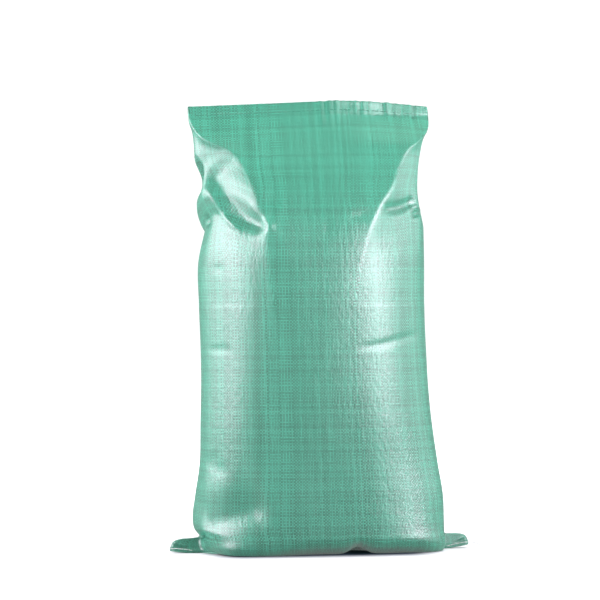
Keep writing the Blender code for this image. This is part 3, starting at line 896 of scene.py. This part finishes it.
# The bottom seam's thread: twisted white polyester, 1.2 mm thick, in a row of stitches along
# the folded band under the sack. It comes forward in both ears and ends in a short loose tail.
THREAD_RADIUS = 0.0006
STITCH_LENGTH, STITCH_GAP = 0.0075, 0.0012
STITCH_SINK = 0.0007
TAIL_LENGTH = 0.019
LEFT_TAIL = ((-0.299, -0.001, 0.0040), (-0.294, 0.000, 0.0062),
             (-0.288, 0.001, 0.0075), (-0.280, 0.000, 0.0075))
RIGHT_TAIL = ((0.280, -0.001, 0.0100), (0.288, -0.005, 0.0088),
              (0.294, -0.011, 0.0060), (0.299, -0.017, 0.0025))
EAR_STITCHES = ((0.274, -0.0060, 0.0045), (0.268, -0.0105, 0.0060), (0.250, -0.0122, 0.0060),
                (0.238, -0.0125, 0.0050), (0.229, -0.0090, 0.0016), (0.216, -0.0020, 0.0008))
UNDER_SACK = ((0.195, 0, 0.0008), (0.1, 0, 0.0008), (0, 0, 0.0008))


class ThreadRoute:
    """A smooth line through chosen points, read at a distance along it."""

    def __init__(self, points, ups):
        points, ups = np.array(points, dtype=float), np.array(ups, dtype=float)
        knots = np.concatenate([[0.0], np.cumsum(np.linalg.norm(np.diff(points, axis=0), axis=1))])
        slopes = np.gradient(points, knots, axis=0)
        self.places, self.ups = [], []
        for i in range(len(points) - 1):
            span = knots[i + 1] - knots[i]
            for t in np.linspace(0, 1, 12, endpoint=False):
                place = between(points[i], points[i + 1], slopes[i], slopes[i + 1], span, t)
                self.places.append(place)
                self.ups.append(ups[i] * (1 - t) + ups[i + 1] * t)
        self.places.append(points[-1])
        self.ups.append(ups[-1])
        self.places, self.ups = np.array(self.places), np.array(self.ups)
        gaps = np.linalg.norm(np.diff(self.places, axis=0), axis=1)
        self.at = np.concatenate([[0.0], np.cumsum(gaps)])
        self.length = self.at[-1]

    def value(self, values, distance):
        return Vector([np.interp(distance, self.at, values[:, k]) for k in range(3)])

    def read(self, distance):
        ahead = self.value(self.places, distance + 0.0005)
        behind = self.value(self.places, distance - 0.0005)
        forward = (ahead - behind).normalized()
        side = forward.cross(self.value(self.ups, distance)).normalized()
        return self.value(self.places, distance), side, side.cross(forward)


def lay_thread(bm, route, start, end, sink, cuts):
    """One stretch of thread along the route; a stitch's ends sink into the cloth."""
    uv = bm.loops.layers.uv.verify()
    for vert in bm.verts:
        vert.tag = True
    radius = THREAD_RADIUS
    bmesh.ops.create_cone(bm, cap_ends=True, segments=6, radius1=radius, radius2=radius, depth=1)
    edges = {edge for vert in bm.verts if not vert.tag for edge in vert.link_edges}
    lengthwise = [edge for edge in edges if abs(edge.verts[0].co.z - edge.verts[1].co.z) > 0.5]
    bmesh.ops.subdivide_edges(bm, edges=lengthwise, cuts=cuts)
    verts = [vert for vert in bm.verts if not vert.tag]
    wound = {}
    for vert in verts:
        share = vert.co.z + 0.5
        distance = start + (end - start) * share
        place, side, up = route.read(distance)
        wound[vert] = (np.arctan2(vert.co.y, vert.co.x) / (2 * pi), distance)
        dive = sink * (1 - sin(pi * share) ** 0.5)
        vert.co = place + side * vert.co.x + up * (vert.co.y - dive)
    for face in {face for vert in verts for face in vert.link_faces}:
        turns = [wound[loop.vert][0] for loop in face.loops]
        wraps = max(turns) - min(turns) > 0.5
        for loop, turn in zip(face.loops, turns):
            loop[uv].uv = (turn + 1 if wraps and turn < 0 else turn, wound[loop.vert][1])


def stitch_row(bm, route, start, end):
    count = int((end - start) / (STITCH_LENGTH + STITCH_GAP))
    pitch = (end - start) / count
    for k in range(count):
        first = start + k * pitch + STITCH_GAP / 2
        lay_thread(bm, route, first, first + pitch - STITCH_GAP, STITCH_SINK, cuts=5)


def thread_object(name, bm, material, node):
    bmesh.ops.recalc_face_normals(bm, faces=bm.faces)
    mesh = bpy.data.meshes.new(name)
    bm.to_mesh(mesh)
    bm.free()
    mesh.shade_smooth()
    mesh.materials.append(material)
    thread = bpy.data.objects.new(name, mesh)
    bpy.context.scene.collection.objects.link(thread)
    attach(thread, "root")
    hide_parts(node)


STRANDS, TWIST_LENGTH = 3, 0.0045
twist = bpy.data.node_groups.new("twisted_strands", "ShaderNodeTree")
twist.interface.new_socket("Thread Map", in_out="INPUT", socket_type="NodeSocketVector")
strands = twist.interface.new_socket("Strands", in_out="INPUT", socket_type="NodeSocketFloat")
strands.default_value = STRANDS
twist_length = twist.interface.new_socket("Twist Length", in_out="INPUT", socket_type="NodeSocketFloat")
twist_length.default_value = TWIST_LENGTH
twist.interface.new_socket("Relief", in_out="OUTPUT", socket_type="NodeSocketFloat")
twist.interface.new_socket("Fuzz", in_out="OUTPUT", socket_type="NodeSocketFloat")
twist_in = twist.nodes.new("NodeGroupInput")
twist_out = twist.nodes.new("NodeGroupOutput")
twist_parts = twist.nodes.new("ShaderNodeSeparateXYZ")
twist.links.new(twist_in.outputs["Thread Map"], twist_parts.inputs["Vector"])


def twist_math(operation, first, second=None):
    return math_node(twist, operation, first, second)


turns_around = twist_math("MULTIPLY", twist_parts.outputs["X"], twist_in.outputs["Strands"])
turns_along = twist_math("DIVIDE", twist_parts.outputs["Y"], twist_in.outputs["Twist Length"])
turn = twist_math("MULTIPLY", twist_math("ADD", turns_around, turns_along), pi)
strand = twist_math("ABSOLUTE", twist_math("SINE", turn))
twist.links.new(strand, twist_out.inputs["Relief"])
fuzz = twist.nodes.new("ShaderNodeTexNoise")
fuzz.inputs["Scale"].default_value = 900
fuzz_place = twist.nodes.new("ShaderNodeTexCoord")
twist.links.new(fuzz_place.outputs["Object"], fuzz.inputs["Vector"])
twist.links.new(fuzz.outputs["Fac"], twist_out.inputs["Fuzz"])

THREAD_RELIEF = 0.00025


def thread_material(name, shade, light, roughness):
    material = bpy.data.materials.new(name)
    material.use_nodes = True
    tree = material.node_tree
    shader = tree.nodes["Principled BSDF"]
    shader.inputs["Roughness"].default_value = roughness
    shader.inputs["Sheen Weight"].default_value = 0.3
    thread_map = tree.nodes.new("ShaderNodeUVMap")
    strands_node = tree.nodes.new("ShaderNodeGroup")
    strands_node.node_tree = twist
    strands_node.inputs["Strands"].default_value = STRANDS
    strands_node.inputs["Twist Length"].default_value = TWIST_LENGTH
    tree.links.new(thread_map.outputs["UV"], strands_node.inputs["Thread Map"])
    raised = math_node(tree, "MULTIPLY", strands_node.outputs["Relief"], 0.6)
    share = math_node(tree, "MULTIPLY_ADD", strands_node.outputs["Fuzz"], 0.5, raised)
    colour = tree.nodes.new("ShaderNodeMix")
    colour.data_type = "RGBA"
    colour.inputs["A"].default_value = shade
    colour.inputs["B"].default_value = light
    tree.links.new(share, colour.inputs["Factor"])
    tree.links.new(colour.outputs["Result"], shader.inputs["Base Color"])
    bump = tree.nodes.new("ShaderNodeBump")
    bump.inputs["Distance"].default_value = THREAD_RELIEF
    tree.links.new(strands_node.outputs["Relief"], bump.inputs["Height"])
    tree.links.new(bump.outputs["Normal"], shader.inputs["Normal"])
    return material


white_thread = thread_material("white_twisted_thread", (0.55, 0.56, 0.55, 1), (0.88, 0.88, 0.86, 1), 0.75)


def ear_stitches(side, lift):
    """The stitches' places from an ear's tip to the base, with the tip curled up as the ear is."""
    places = []
    for x, y, z in EAR_STITCHES + UNDER_SACK[:-1]:
        places.append((side * x, y, z + lift * share_of_ear(x) ** 1.5))
    return places


seam_points = [
    *LEFT_TAIL, *ear_stitches(-1, LEFT_EAR_LIFT), UNDER_SACK[-1],
    *ear_stitches(1, RIGHT_EAR_LIFT)[::-1], *RIGHT_TAIL,
]
seam_ups = []
for x, y, z in seam_points:
    if abs(x) > 0.276:
        seam_ups.append((0, 0, 1))
    elif abs(x) > 0.232:
        seam_ups.append((0, -1, 0.2))
    else:
        seam_ups.append((0, -0.001, -1))
seam_route = ThreadRoute(seam_points, seam_ups)
seam_end = seam_route.length
bm = bmesh.new()
lay_thread(bm, seam_route, 0, TAIL_LENGTH, sink=0, cuts=16)
lay_thread(bm, seam_route, seam_end - TAIL_LENGTH, seam_end, sink=0, cuts=16)
stitch_row(bm, seam_route, TAIL_LENGTH, seam_end - TAIL_LENGTH)
thread_object("bottom_seam_stitches", bm, white_thread, "bottom_seam_thread")

# The hem's threads: green, the colour of the cloth, one row of stitches through the front
# layer of the mouth's hem and one through the back layer, each clear of the other.
HEM_STITCHES_BELOW_TOP = 0.019
HEM_REACH = 0.79                          # the share of the cloth's quarter that is stitched
HEM_END_GAP = 0.002
green_thread = thread_material("green_twisted_thread", (0.02, 0.14, 0.09, 1), (0.07, 0.27, 0.19, 1), 0.6)


def hem_stitches(name, node, direction):
    row = int(np.argmin(abs(outside[:, front_middle, 2] - (MOUTH_TOP - HEM_STITCHES_BELOW_TOP))))
    reach = QUARTER_CLOTH * HEM_REACH
    points, ups = [], []
    for j in range(0, columns, 2):
        cloth = across[row, j]
        if direction > 0:
            cloth = np.sign(cloth) * (2 * QUARTER_CLOTH - abs(cloth))
        facing = normals[row, j, 1] * direction
        if abs(cloth) < reach and facing > 0.3:
            points.append(outside[row, j] + normals[row, j] * THREAD_RADIUS * 0.5)
            ups.append(normals[row, j])
    order = np.argsort([point[0] for point in points])
    route = ThreadRoute([points[k] for k in order], [ups[k] for k in order])
    bm = bmesh.new()
    stitch_row(bm, route, HEM_END_GAP, route.length - HEM_END_GAP)
    thread_object(name, bm, green_thread, node)


hem_stitches("front_hem_stitches", "front_hem_thread", -1)
hem_stitches("back_hem_stitches", "back_hem_thread", 1)
